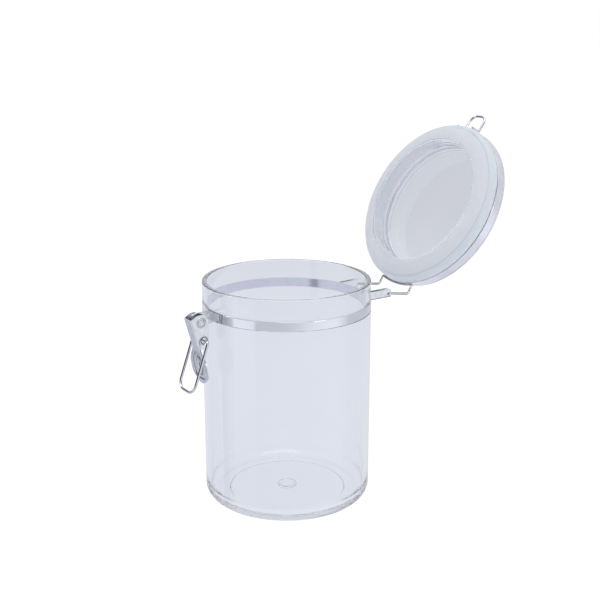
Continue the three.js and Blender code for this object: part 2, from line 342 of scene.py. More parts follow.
def drill(obj, centre, radius, half_length):
    """Cuts a round hole along X through a piece."""
    bm = bmesh.new()
    bmesh.ops.create_cone(
        bm, cap_ends=True, segments=40, radius1=radius, radius2=radius, depth=2 * half_length
    )
    bm.transform(Matrix.Translation(centre) @ Matrix.Rotation(math.pi / 2, 4, "Y"))
    bm.transform(Matrix.Scale(MM, 4))
    mesh = bpy.data.meshes.new("cutter")
    bm.to_mesh(mesh)
    bm.free()
    cutter = bpy.data.objects.new("cutter", mesh)
    bpy.context.scene.collection.objects.link(cutter)
    cut = obj.modifiers.new("hole", "BOOLEAN")
    cut.operation = "DIFFERENCE"
    cut.solver = "EXACT"
    cut.object = cutter
    bpy.context.view_layer.update()
    bake(obj)
    bpy.data.objects.remove(cutter)
    return obj


def smoothstep(low, high, value):
    t = min(max((value - low) / (high - low), 0.0), 1.0)
    return t * t * (3 - 2 * t)


def densified(path, step):
    """A 2-D path with extra points, so that no step is much longer than the one given."""
    out = []
    for (xa, ya), (xb, yb) in zip(path, path[1:]):
        pieces = max(1, int(math.hypot(xb - xa, yb - ya) / step))
        for t in range(pieces):
            out.append((xa + (xb - xa) * t / pieces, ya + (yb - ya) * t / pieces))
    out.append(path[-1])
    return out


def line_at(value, middle, half_width):
    """1 on a line, falling to 0 at its half width."""
    return 1 - smoothstep(0.0, half_width, abs(value - middle))


def spans(polygon, axis, value):
    """Lowest and highest crossing of a closed 2-D outline with a line at one coordinate."""
    other = 1 - axis
    hits = []
    for a, b in zip(polygon, polygon[1:] + polygon[:1]):
        low, high = sorted((a[axis], b[axis]))
        if high - low > 1e-9 and low <= value <= high:
            t = (value - a[axis]) / (b[axis] - a[axis])
            hits.append(a[other] + (b[other] - a[other]) * t)
    return min(hits), max(hits)


# ---------------------------------------------------------------- materials
def shader(name, **sockets):
    """A material whose Principled sockets are set directly, by name."""
    mat = bpy.data.materials.new(name)
    mat.use_nodes = True
    bsdf = mat.node_tree.nodes["Principled BSDF"]
    for key, value in sockets.items():
        bsdf.inputs[key.replace("_", " ")].default_value = value
    return mat, mat.node_tree, bsdf


def add(tree, kind, **values):
    """A node with its sockets or settings given by name."""
    node = tree.nodes.new(kind)
    for key, value in values.items():
        if key in node.inputs:
            node.inputs[key].default_value = value
        else:
            setattr(node, key, value)
    return node


def mapped(tree, source, scale):
    """One of the texture coordinates, scaled."""
    coords = add(tree, "ShaderNodeTexCoord")
    mapping = add(tree, "ShaderNodeMapping")
    mapping.inputs["Scale"].default_value = scale
    tree.links.new(coords.outputs[source], mapping.inputs["Vector"])
    return mapping.outputs["Vector"]


def noise(tree, vector, scale, detail=3.0, rough=0.5):
    node = add(tree, "ShaderNodeTexNoise")
    node.inputs["Scale"].default_value = scale
    node.inputs["Detail"].default_value = detail
    node.inputs["Roughness"].default_value = rough
    tree.links.new(vector, node.inputs["Vector"])
    return node.outputs["Fac"]


def ranged(tree, value, low, high, from_low=0.3, from_high=0.7):
    node = add(tree, "ShaderNodeMapRange")
    node.inputs["From Min"].default_value = from_low
    node.inputs["From Max"].default_value = from_high
    node.inputs["To Min"].default_value = low
    node.inputs["To Max"].default_value = high
    tree.links.new(value, node.inputs["Value"])
    return node.outputs["Result"]


def math_node(tree, operation, a, b=None, clamp=False):
    node = add(tree, "ShaderNodeMath", operation=operation, use_clamp=clamp)
    for socket, value in zip(node.inputs, (a, b)):
        if value is None:
            continue
        if isinstance(value, (int, float)):
            socket.default_value = value
        else:
            tree.links.new(value, socket)
    return node.outputs[0]


def ramp_node(tree, value, stops):
    """A colour ramp from a list of (position, level or colour)."""
    node = tree.nodes.new("ShaderNodeValToRGB")
    node.color_ramp.interpolation = "LINEAR"
    elements = node.color_ramp.elements
    while len(elements) > 1:
        elements.remove(elements[-1])
    for i, (position, colour) in enumerate(stops):
        if isinstance(colour, (int, float)):
            colour = (colour, colour * 1.01, colour * 1.05)
        element = elements[0] if i == 0 else elements.new(position)
        element.position = position
        element.color = (*colour, 1)
    tree.links.new(value, node.inputs[0])
    return node.outputs["Color"]


def mix_colour(tree, factor, a, b):
    """Colour a turning into colour b with a factor. Either may be a socket."""
    node = add(tree, "ShaderNodeMix", data_type="RGBA")
    colours = [s for s in node.inputs if s.type == "RGBA"]
    for socket, value in zip(colours, (a, b)):
        if isinstance(value, tuple):
            socket.default_value = (*value, 1)
        else:
            tree.links.new(value, socket)
    tree.links.new(factor, node.inputs["Factor"])
    return [s for s in node.outputs if s.type == "RGBA"][0]


def bumped(tree, bsdf, height, strength, distance):
    bump = add(tree, "ShaderNodeBump")
    bump.inputs["Strength"].default_value = strength
    bump.inputs["Distance"].default_value = distance
    tree.links.new(height, bump.inputs["Height"])
    tree.links.new(bump.outputs["Normal"], bsdf.inputs["Normal"])


def make_acrylic(name, dark, light):
    """Clear moulded acrylic: slight cool tint, faint mould waviness and hairline scuffs."""
    mat, tree, bsdf = shader(name, IOR=1.49, Transmission_Weight=1.0, Specular_IOR_Level=0.5)
    flow = noise(tree, mapped(tree, "Object", (1, 1, 0.25)), 26, 2.0)
    tint = mix_colour(tree, ranged(tree, flow, 0, 1), dark, light)
    tree.links.new(tint, bsdf.inputs["Base Color"])
    scuffs = noise(tree, mapped(tree, "Object", (90, 90, 8)), 14, 4.0, 0.65)
    tree.links.new(ranged(tree, scuffs, 0.004, 0.045, 0.42, 0.72), bsdf.inputs["Roughness"])
    bumped(tree, bsdf, flow, 0.05, 0.0008)
    return mat


def make_silicone():
    """Milky soft seal: satin, lets a little blurred light through, with a fine moulded grain."""
    mat, tree, bsdf = shader(
        "silicone",
        IOR=1.41,
        Transmission_Weight=0.3,
        Subsurface_Weight=0.3,
        Subsurface_Scale=0.003,
        Specular_IOR_Level=0.4,
    )
    cloud = noise(tree, mapped(tree, "Object", (1, 1, 1)), 60, 3.0)
    tint = mix_colour(tree, ranged(tree, cloud, 0, 1), (0.91, 0.935, 0.975), (0.955, 0.97, 0.99))
    tree.links.new(tint, bsdf.inputs["Base Color"])
    grain = noise(tree, mapped(tree, "Object", (1, 1, 1)), 2200, 2.0)
    tree.links.new(ranged(tree, grain, 0.42, 0.55), bsdf.inputs["Roughness"])
    bumped(tree, bsdf, grain, 0.12, 0.00004)
    return mat


def make_strip():
    """Bright rolled strip: fine lines run round the band, with faint handling marks."""
    mat, tree, bsdf = shader("steel_strip", Metallic=1.0)
    lines = noise(tree, mapped(tree, "UV", (14, 900, 1)), 12, 3.0, 0.6)
    marks = noise(tree, mapped(tree, "Object", (1, 1, 1)), 90, 3.0)
    tint = mix_colour(tree, ranged(tree, marks, 0, 1), (0.74, 0.75, 0.82), (0.80, 0.81, 0.875))
    tree.links.new(tint, bsdf.inputs["Base Color"])
    tree.links.new(ranged(tree, lines, 0.08, 0.18), bsdf.inputs["Roughness"])
    bumped(tree, bsdf, lines, 0.12, 0.00002)
    return mat


def make_pressed():
    """Pressed bright sheet: shallow press texture, duller spots, and shade painted dark into its
    creases.
    """
    mat, tree, bsdf = shader("steel_pressed", Metallic=1.0)
    press = noise(tree, mapped(tree, "Object", (1, 1, 1)), 260, 3.0)
    marks = noise(tree, mapped(tree, "Object", (3, 3, 0.6)), 500, 3.0, 0.6)
    unshaded_tint = mix_colour(tree, ranged(tree, press, 0, 1), (0.64, 0.66, 0.70), (0.77, 0.78, 0.81))
    # Painted shade: the crease value turns the base colour almost black in pressed corners,
    # standing in for shade.
    crease_shade = add(tree, "ShaderNodeAttribute", attribute_name=CREASE_SHADE)
    tint = mix_colour(tree, crease_shade.outputs["Fac"], unshaded_tint, (0.035, 0.05, 0.06))
    tree.links.new(tint, bsdf.inputs["Base Color"])
    tree.links.new(ranged(tree, marks, 0.14, 0.27), bsdf.inputs["Roughness"])
    bumped(tree, bsdf, press, 0.10, 0.00012)
    return mat


def make_wire():
    """Polished drawn wire, with fine lines along its length."""
    mat, tree, bsdf = shader("steel_wire", Metallic=1.0)
    drawn = noise(tree, mapped(tree, "UV", (60, 3, 1)), 10, 3.0, 0.6)
    tint = mix_colour(tree, ranged(tree, drawn, 0, 1), (0.56, 0.57, 0.61), (0.70, 0.71, 0.75))
    tree.links.new(tint, bsdf.inputs["Base Color"])
    tree.links.new(ranged(tree, drawn, 0.04, 0.10), bsdf.inputs["Roughness"])
    bumped(tree, bsdf, drawn, 0.08, 0.00003)
    return mat


JAR_CLEAR = make_acrylic("acrylic_jar", (0.955, 0.96, 0.975), (0.975, 0.98, 0.99))
LID_CLEAR = make_acrylic("acrylic_lid", (0.955, 0.96, 0.975), (0.98, 0.985, 0.99))
SILICONE = make_silicone()
STRIP = make_strip()
PRESSED = make_pressed()
WIRE = make_wire()


def place(obj, body, nodes, mat):
    """Gives a piece its material and its body, and hides the CAD nodes it stands for."""
    obj.data.materials.clear()
    obj.data.materials.append(mat)
    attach(obj, body)
    if nodes:
        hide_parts(*nodes)
    return obj


# ---------------------------------------------------------------- jar
def build_jar():
    groove = BAND_R - SHEET - GAP
    floor, base_round, inner_round, rim_round = 5.0, 11.0, 9.0, 0.9
    profile = rounded(
        [
            (0, 0),
            (4.6, 0, 0.15),
            (4.9, 0.45, 0.1),
            (5.4, 0.45, 0.1),
            (5.9, 0.0, 0.15),
            (6.4, 0.1, 0.1),
            (6.9, 0.8, 0.3),
            (43.4, 0.8, 0.4),
            (44.4, 0, 0.4),
            (JAR_R, 0, base_round),
            (JAR_R, BAND_Z0 - GAP, 0.35),
            (groove, BAND_Z0 - GAP, 0.2),
            (groove, BAND_Z1 + GAP, 0.2),
            (RIM_R, BAND_Z1 + GAP, 0.35),
            (RIM_R, JAR_H, rim_round),
            (INNER_R, JAR_H, rim_round),
            (INNER_R, floor, inner_round),
            (7.4, floor, 0.5),
            (6.6, 5.45, 0.3),
            (6.0, floor, 0.3),
            (0, floor),
        ],
        closed=False,
        steps=8,
    )
    return lathe("jar_shell", profile, closed=False)


def let_light_through(piece):
    """Clear walls cast no shade, so what stands behind them stays as bright as in a studio."""
    piece.visible_shadow = False
    piece.visible_diffuse = False


let_light_through(place(build_jar(), "canister", ["jar"], JAR_CLEAR))


def build_band(name, radius, z0, z1, matrix=None):
    inner = radius - SHEET
    profile = rounded(
        [(inner, z0, 0.2), (radius, z0, 0.28), (radius, z1, 0.28), (inner, z1, 0.2)],
        steps=4,
    )
    return lathe(name, profile, closed=True, matrix=matrix)


place(
    build_band("neck_strip", BAND_R, BAND_Z0, BAND_Z1),
    "canister",
    ["neck_band"],
    STRIP,
)


# ---------------------------------------------------------------- brackets
def dimple(distance):
    """A spot weld's shallow round dent."""
    radius, depth = 1.5, 0.28
    return -depth * (1 - smoothstep(radius * 0.35, radius, distance))


def foot_grid(x0, x1, side, z0, z1, welds):
    """The curved strip of a bracket on the neck band, dented at its spot welds."""
    middle = BAND_R + GAP + SHEET / 2
    grid = []
    cols = max(10, int((x1 - x0) / 0.35))
    rows = 22
    for i in range(cols + 1):
        x = x0 + (x1 - x0) * i / cols
        column = []
        for j in range(rows + 1):
            z = z0 + (z1 - z0) * j / rows
            r = middle + sum(dimple(math.hypot(x - wx, z - wz)) for wx, wz in welds) * 0.5
            y = side * math.sqrt(r * r - x * x)
            column.append(Vector((x, y, z)))
        grid.append(column)
    return grid


def plate_yz(name, outline, x):
    """A flat plate in the Y-Z plane from a rounded outline, centred on one X."""
    bm = bmesh.new()
    ring = [bm.verts.new((x - SHEET / 2, y, z)) for y, z in outline]
    bottom = bm.faces.new(ring)
    extruded = bmesh.ops.extrude_face_region(bm, geom=[bottom])
    moved = [v for v in extruded["geom"] if isinstance(v, bmesh.types.BMVert)]
    bmesh.ops.translate(bm, vec=(SHEET, 0, 0), verts=moved)
    return soften_edges(new_piece(name, bm, smooth_angle=40))


def join(name, parts):
    """One object from several, with their modifiers applied."""
    bm = bmesh.new()
    for part in parts:
        bake(part)
        bm.from_mesh(part.data)
        bpy.data.objects.remove(part)
    mesh = bpy.data.meshes.new(name)
    bm.to_mesh(mesh)
    bm.free()
    mesh.shade_smooth()
    mesh.set_sharp_from_angle(angle=math.radians(40))
    obj = bpy.data.objects.new(name, mesh)
    bpy.context.scene.collection.objects.link(obj)
    return obj


def build_latch_bracket():
    ear_x = LEVER_HALF - SHEET - GAP - SHEET / 2
    outline = rounded(
        [
            (-62.9, 145.9),
            (-69.0, 145.1, 2.5),
            (-72.0, 143.7, 2.5),
            (-79.0, 143.7, 3.4),
            (-79.0, 151.2, 3.6),
            (-73.0, 152.3, 1.5),
            (-62.9, 152.3),
        ],
        steps=8,
    )
    parts = []
    for side in (-1, 1):
        ear = plate_yz(f"ear_{side}", outline, side * ear_x)
        parts.append(drill(ear, Vector((0, RIVET.y, RIVET.z)), 1.8, 10))
    foot = foot_grid(-8.9, 8.9, -1, BAND_Z0 + 0.1, BAND_Z1 - 0.1, [(-6.4, 149.05), (6.4, 149.05)])
    parts.append(sheet_metal("foot", foot))
    web_back, web_depth, web_z, steps = -63.2, 8.6, 151.85, 16
    web = []
    for x in (-3.9, -2, 0, 2, 3.9):
        ys = [web_back - web_depth * k / steps for k in range(steps + 1)]
        web.append([Vector((x, y, web_z)) for y in ys])
    parts.append(sheet_metal("web", web))
    return join("latch_carrier", parts)


place(build_latch_bracket(), "canister", ["latch_bracket"], PRESSED)


def build_hinge_bracket(side):
    low, high = 145.2, 151.8
    end = PIN.y + 2.2
    near = LEG_X - WIRE_R - 0.35 - SHEET
    far = LEG_X + WIRE_R + 0.35 + SHEET
    x_near, x_far, z_low = near + SHEET / 2, far - SHEET / 2, low + SHEET / 2
    corners = [(x_near, high), (x_near, z_low, 0.9), (x_far, z_low, 0.9), (x_far, high)]
    section = rounded(corners, closed=False, steps=6)
    grid = []
    for x, z in densified(section, 0.5):
        y0 = math.sqrt((BAND_R + GAP + SHEET) ** 2 - x * x) - 0.35
        lift = smoothstep(low + 1.0, high, z)
        y1 = end - 0.5 * lift * lift
        grid.append([Vector((side * x, y0 + (y1 - y0) * k / 30, z)) for k in range(31)])
    channel = sheet_metal(f"channel_{side}", grid)
    channel = drill(channel, Vector((side * (far - SHEET / 2), PIN.y, PIN.z)), WIRE_R + 0.3, 1.2)
    x0, x1 = (12.0, 24.0) if side > 0 else (-24.0, -12.0)
    welds = [(side * 13.9, 149.05), (side * 22.2, 149.05)]
    foot = sheet_metal(f"foot_{side}", foot_grid(x0, x1, 1, BAND_Z0 + 0.1, BAND_Z1 - 0.1, welds))
    word = "right" if side > 0 else "left"
    return join(f"hinge_channel_{word}", [channel, foot])


place(build_hinge_bracket(1), "canister", ["hinge_bracket_right"], PRESSED)
place(build_hinge_bracket(-1), "canister", ["hinge_bracket_left"], PRESSED)


def build_rivet():
    inside = LEVER_HALF + GAP * 0.4
    half = rounded(
        [
            (1.55, 0),
            (1.55, inside, 0.1),
            (2.5, inside, 0.12),
            (2.5, inside + 0.35, 0.3),
            (1.5, inside + 0.95, 0.5),
            (0.95, inside + 0.85, 0.2),
            (0.7, inside + 0.45, 0.15),
            (0, inside + 0.45),
        ],
        closed=False,
        steps=6,
    )
    profile = [(r, -z) for r, z in reversed(half)] + half[1:]
    turn = Matrix.Translation((0, RIVET.y, RIVET.z)) @ Matrix.Rotation(math.pi / 2, 4, "Y")
    return lathe("rivet", profile, closed=False, segments=64, matrix=turn)


place(build_rivet(), "canister", ["lever_rivet"], PRESSED)


# ---------------------------------------------------------------- lid, drawn closed
SKIRT_Z, SKIRT_INNER_R = -6.2, 63.2
SEAT_Z = 1.6
PLUG_Z, PLUG_INNER_R = -11.3, 50.4
RECESS_Z, SHOULDER_Z, PANEL_Z = 8.2, 8.0, 11.2
LID_BAND_Z0, LID_BAND_Z1 = -0.8, 6.2


def seal_reach(z):
    """Largest radius at a height that still swings past the jar's mouth on the hinge."""
    corner = math.hypot(PIN.y - INNER_R, JAR_H - PIN.z) + GAP
    height = JAR_H + z - PIN.z
    return PIN.y - math.sqrt(corner * corner - height * height)


def build_lid():
    groove = LID_BAND_R - SHEET - GAP
    profile = rounded(
        [
            (0, RECESS_Z),
            (PLUG_INNER_R, RECESS_Z, 0.8),
            (PLUG_INNER_R, PLUG_Z, 0.5),
            (PLUG_INNER_R + 1.1, PLUG_Z, 0.4),
            (PLUG_INNER_R + 2.2, SEAT_Z, 0.3),
            (63.9, SEAT_Z, 0.3),
            (64.2, SKIRT_Z + 1.3, 0.5),
            (65.2, SKIRT_Z + 1.5, 0.5),
            (65.85, SKIRT_Z + 2.4, 0.5),
            (66.0, LID_BAND_Z0 - GAP - 0.6, 0.2),
            (LID_R, LID_BAND_Z0 - GAP - 0.6, 0.2),
            (LID_R, LID_BAND_Z0 - GAP, 0.15),
            (groove, LID_BAND_Z0 - GAP, 0.15),
            (groove, LID_BAND_Z1 + GAP, 0.15),
            (LID_R - 0.4, LID_BAND_Z1 + GAP, 0.2),
            (LID_R - 0.4, SHOULDER_Z, 0.9),
            (56.2, SHOULDER_Z, 1.0),
            (54.2, PANEL_Z, 1.2),
            (0, PANEL_Z),
        ],
        closed=False,
        steps=7,
    )
    return lathe("lid_cover", profile, closed=False, matrix=LID)


let_light_through(place(build_lid(), "lid", ["lid_shell"], LID_CLEAR))
place(
    build_band("lid_strip", LID_BAND_R, LID_BAND_Z0, LID_BAND_Z1, LID),
    "lid",
    ["lid_band"],
    STRIP,
)


BULGE_R, BULGE_Z = 52.0, -2.0


def bulge(r):
    """Height of the soft seal's rounded underside at a radius."""
    return BULGE_Z - 9.3 * math.sqrt(max(0.0, 1 - ((r - BULGE_R) / (LID_R - BULGE_R)) ** 2))


def build_seal():
    """The firm part of the seal.

    A sleeve goes round the plug, a flat face meets the rim, and a lip wraps round the skirt."""
    inner_top = PLUG_INNER_R + 2.2 + 0.15
    inner_low = PLUG_INNER_R + 1.1 + 0.2
    sleeve = [(seal_reach(z) - 0.1, z) for z in (-9.5, -7.5, -5.5, -3.5, -1.5)]
    wrap = [(r, bulge(r)) for r in (63.9, 64.5, 65.1, 65.6, 66.1, 66.4, 66.65, LID_R)]
    corners = (
        [(inner_low, -10.9, 0.2), (seal_reach(-10.9) - 0.1, -10.9, 0.2)]
        + sleeve
        + [(seal_reach(GAP) - 0.2, GAP, 0.4), (SKIRT_INNER_R, GAP, 0.4)]
        + [(SKIRT_INNER_R + 0.1, bulge(63.3), 0.3)]
        + wrap
        + [
            (LID_R, LID_BAND_Z0 - GAP - 0.75, 0.25),
            (66.15, LID_BAND_Z0 - GAP - 0.75, 0.1),
            (66.0, SKIRT_Z + 2.2, 0.3),
            (64.05, SKIRT_Z + 1.15, 0.4),
            (63.75, SEAT_Z - 0.15, 0.3),
            (inner_top, SEAT_Z - 0.15, 0.2),
        ]
    )
    return lathe("seal_ring", rounded(corners, steps=6), closed=True, matrix=LID)


place(build_seal(), "lid", ["lid_seal"], SILICONE)


def build_pad():
    """The hollow soft part of the seal, which the rim presses flat when the lid shuts."""
    inner, outer, steps = 51.75, SKIRT_INNER_R, 26
    radii = [inner + (outer - inner) * k / steps for k in range(steps + 1)]
    under = [(r, bulge(r)) for r in radii]
    side = [(seal_reach(z) + 0.05, z) for z in (0.2, -1.5, -3.5, -5.5, -7.5, -9.5, -10.9)]
    corners = [(63.15, 0.2, 0.05)] + side + under
    pad = lathe("seal_pad", rounded(corners, steps=3), closed=True, matrix=LID)
    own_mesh(pad)
    return pad


place(build_pad(), "lid", [], SILICONE)


def build_hinge_wire():
    run_r = LID_BAND_R + GAP + WIRE_R
    run_z, pin_end, steps = 0.2, 21.2, 12
    half = math.asin(LEG_X / run_r)
    run = []
    for i in range(steps + 1):
        a = half - 2 * half * i / steps
        bend = 1.4 if i in (0, steps) else 0.0
        run.append((run_r * math.sin(a), run_r * math.cos(a), run_z, bend))

    def end(s):
        return [
            (s * pin_end, PIN.y, PIN.z - JAR_H, 0),
            (s * LEG_X, PIN.y, PIN.z - JAR_H, 1.3),
            (s * LEG_X, PIN.y - 7.0, run_z - 0.4, 3.0),
        ]

    return sweep("hinge_rod", route(end(1) + run + end(-1)[::-1]), matrix=LID)


place(build_hinge_wire(), "lid", ["hinge_wire"], WIRE)


def build_catch():
    half, foot_z, bend_z, tip_y, tip_z = 8.3, 0.6, 8.4, -81.4, 10.9
    face = -math.sqrt((LID_BAND_R + GAP + WIRE_R) ** 2 - (half - 1) ** 2)
    path = route(
        [
            (half, face, foot_z, 0),
            (half, face, bend_z, 2.2),
            (half - 0.6, tip_y, tip_z, 6.0),
            (-half + 0.6, tip_y, tip_z, 6.0),
            (-half, face, bend_z, 2.2),
            (-half, face, foot_z, 0),
        ],
        steps=12,
    )
    return sweep("catch_rod", path, matrix=LID)


place(build_catch(), "lid", ["catch_wire"], WIRE)


# ---------------------------------------------------------------- lever and bail
FRONT_FOOT = Vector((0, -76.7, 127.0))
FRONT_TOP = Vector((0, -83.1, 149.5))
UP = (FRONT_TOP - FRONT_FOOT).normalized()
INTO = Vector((0, UP.z, -UP.y))


def build_lever_channel():
    cheek = [
        (-83.1, 149.5, 0.8),
        (-76.7, 127.0, 0.0),
        (-70.2, 127.8, 1.6),
        (-68.8, 132.0, 2.5),
        (-69.2, 149.0, 2.5),
        (-73.5, 152.8, 3.0),
        (-77.5, 152.6, 3.0),
    ]
    outline = []
    for y, z in rounded(cheek, steps=8):
        d = Vector((0, y, z)) - FRONT_FOOT
        outline.append((d.dot(INTO), d.dot(UP)))
    deepest = max(p[0] for p in outline) - 0.06
    mid = SHEET / 2
    x_mid = LEVER_HALF - mid
    corners = [(x_mid, deepest, 0), (x_mid, mid, 1.1), (-x_mid, mid, 1.1), (-x_mid, deepest, 0)]
    section = rounded(corners, closed=False, steps=7)
    grid, creases = [], []
    rows = 64
    for x, d in densified(section, 0.4):
        low, high = spans(outline, 0, max(d, 0.02))
        column, marks = [], []
        for k in range(rows + 1):
            e = low + (high - low) * k / rows
            p = FRONT_FOOT + INTO * d + UP * e
            x_here = x
            marks.append(0.0)
            if abs(x) > x_mid - 0.05:
                side = 1 if x > 0 else -1
                about_eye = math.hypot(p.y - EYE.y, p.z - EYE.z)
                about_rivet = math.hypot(p.y - RIVET.y, p.z - RIVET.z)
                x_here -= side * 0.45 * (1 - smoothstep(2.3, 3.5, about_eye))
                x_here += side * 0.22 * (1 - smoothstep(3.2, 4.0, about_rivet))
                # Painted shade: dark rings drawn round the eye's dent and the rivet's boss.
                eye_shade = 0.85 * line_at(about_eye, 2.5, 1.0)
                marks[-1] = max(eye_shade, 0.45 * line_at(about_rivet, 3.1, 0.8))
            column.append(Vector((x_here, p.y, p.z)))
        grid.append(column)
        creases.append(marks)
    channel = sheet_metal("lever_sides", grid, creases=creases)
    channel = drill(channel, Vector((0, RIVET.y, RIVET.z)), 1.85, 10)
    return drill(channel, Vector((0, EYE.y, EYE.z)), 1.4, 10)


def build_thumb_plate():
    lean = math.radians(8.8)
    down = Vector((0, math.sin(lean), -math.cos(lean)))
    out = Vector((0, -math.cos(lean), -math.sin(lean)))
    start = Vector((0, -76.6, 127.6)) - out * (SHEET / 2)
    half, length = 11.7, 27.0
    outline = rounded(
        [
            (-1.0, -5.0),
            (1.8, -6.2, 2.0),
            (9.8, -half, 6.0),
            (length - 6.2, -half, 7.5),
            (length, -2.5, 5.0),
            (length, 2.5, 5.0),
            (length - 6.2, half, 7.5),
            (9.8, half, 6.0),
            (1.8, 6.2, 2.0),
            (-1.0, 5.0),
        ],
        steps=10,
    )
    rows, cols = 84, 64
    grid, creases = [], []
    last = length - 0.05
    for i in range(rows + 1):
        s = -0.98 + (last + 0.98) * i / rows
        low, high = spans(outline, 0, s)
        line, marks = [], []
        for j in range(cols + 1):
            x = low + (high - low) * j / cols
            rim = min(high - abs(x), (length - s) * 0.9)
            lift = -0.75 * smoothstep(2.4, 3.6, rim) * smoothstep(2.6, 3.8, s)
            oval = math.hypot(x / 3.6, (s - 13.5) / 6.6)
            lift += 0.55 * (1 - smoothstep(0.85, 1.15, oval))
            lift -= 0.6 * (1 - smoothstep(0.45, 0.75, oval))
            # Painted shade: dark lines along the pressed wall, the step and the oval dent.
            wall = line_at(rim, 3.3, 0.7) * smoothstep(2.6, 3.4, s)
            step = line_at(s, 3.2, 0.6) * smoothstep(2.6, 3.4, rim)
            dent = max(line_at(oval, 1.05, 0.22), 0.8 * (1 - smoothstep(0.25, 0.6, oval)))
            marks.append(0.75 * max(wall, step, dent))
            p = start + down * s + out * lift
            line.append(Vector((x, p.y, p.z)))
        grid.append(line)
        creases.append(marks)
    return sheet_metal("lever_thumb", grid, creases=creases)


place(build_lever_channel(), "lever", ["lever"], PRESSED)
place(build_thumb_plate(), "lever", [], PRESSED)


def build_bail():
    lean = math.radians(19.65)
    half, length = 10.7, 38.4
    y1 = EYE.y - length * math.sin(lean)
    z1 = EYE.z - length * math.cos(lean)
    end = LEVER_HALF - SHEET - 0.5
    path = route(
        [
            (end, EYE.y, EYE.z, 0),
            (half, EYE.y, EYE.z, 2.2),
            (half, y1, z1, 7.0),
            (-half, y1, z1, 7.0),
            (-half, EYE.y, EYE.z, 2.2),
            (-end, EYE.y, EYE.z, 0),
        ],
        steps=12,
    )
    return sweep("bail_rod", path)


place(build_bail(), "bail", ["bail"], WIRE)


# ---------------------------------------------------------------- floor, lights, camera
# The camera sees a plain white floor and backdrop. Everything the plastic lets through comes from
# the same studio a little darker and cooler, so that clear walls stand out softly against white.
STUDIO = (0.775, 0.795, 0.865)
STUDIO_FAR = tuple(c * 0.84 for c in STUDIO)
SCATTER_BOOST = 0.15


def scattered_strength(tree, rays):
    """Light that reaches a milky surface is a little stronger than what clear plastic shows."""
    scattered = math_node(tree, "MINIMUM", rays.outputs["Diffuse Depth"], 1.0)
    return math_node(tree, "ADD", math_node(tree, "MULTIPLY", scattered, SCATTER_BOOST), 1.0)


def build_floor():
    bm = bmesh.new()
    bmesh.ops.create_grid(bm, x_segments=24, y_segments=24, size=6000)
    obj = new_piece("floor", bm)
    mat, tree, bsdf = shader("floor_white", Roughness=0.7, Specular_IOR_Level=0.1)
    bsdf.inputs["Base Color"].default_value = (0.12, 0.12, 0.12, 1)
    bsdf.inputs["Emission Color"].default_value = (1, 1, 1, 1)
    bsdf.inputs["Emission Strength"].default_value = 0.93
    output = tree.nodes["Material Output"]
    coords = add(tree, "ShaderNodeTexCoord")
    length = add(tree, "ShaderNodeVectorMath", operation="LENGTH")
    tree.links.new(coords.outputs["Object"], length.inputs[0])
    glow = add(tree, "ShaderNodeEmission")
    reach = math_node(tree, "DIVIDE", length.outputs["Value"], 3.0, True)
    stops = [(0.0, STUDIO), (0.12, STUDIO), (0.38, STUDIO_FAR), (1.0, STUDIO_FAR)]
    tree.links.new(ramp_node(tree, reach, stops), glow.inputs["Color"])
    rays = add(tree, "ShaderNodeLightPath")
    tree.links.new(scattered_strength(tree, rays), glow.inputs["Strength"])
    mix = add(tree, "ShaderNodeMixShader")
    tree.links.new(rays.outputs["Is Camera Ray"], mix.inputs[0])
    tree.links.new(glow.outputs[0], mix.inputs[1])
    tree.links.new(bsdf.outputs[0], mix.inputs[2])
    tree.links.new(mix.outputs[0], output.inputs["Surface"])
    obj.data.materials.append(mat)
    obj.location.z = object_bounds()[0].z - 0.0002
    obj.visible_glossy = False
    return obj


build_floor()


def soft_box(name, location, target, width, height, power):
    data = bpy.data.lights.new(name, "AREA")
    data.shape = "RECTANGLE"
    data.size, data.size_y = width, height
    data.energy = power
    obj = bpy.data.objects.new(name, data)
    obj.location = location
    direction = Vector(target) - Vector(location)
    obj.rotation_euler = direction.to_track_quat("-Z", "Y").to_euler()
    obj.visible_camera = False
    obj.visible_transmission = False
    bpy.context.scene.collection.objects.link(obj)
    return obj


soft_box("key", (-0.9, -1.3, 1.1), (0, 0, 0.12), 0.5, 0.5, 4)
soft_box("fill", (1.6, 0.3, 0.7), (0, 0, 0.12), 0.4, 0.6, 3)
soft_box("top", (0.0, 0.1, 1.7), (0, 0.03, 0.15), 1.0, 1.0, 4)


# Studio flags seen only in reflections: direction, radius in degrees, colour.
BLACK = (0.015, 0.015, 0.02)
FLAGS = (
    ((0.0, 0.62, -0.78), 24, BLACK),
    ((0.72, 0.12, 0.68), 15, BLACK),
    ((-0.80, -0.32, -0.51), 24, (0.62, 0.65, 0.74)),
)


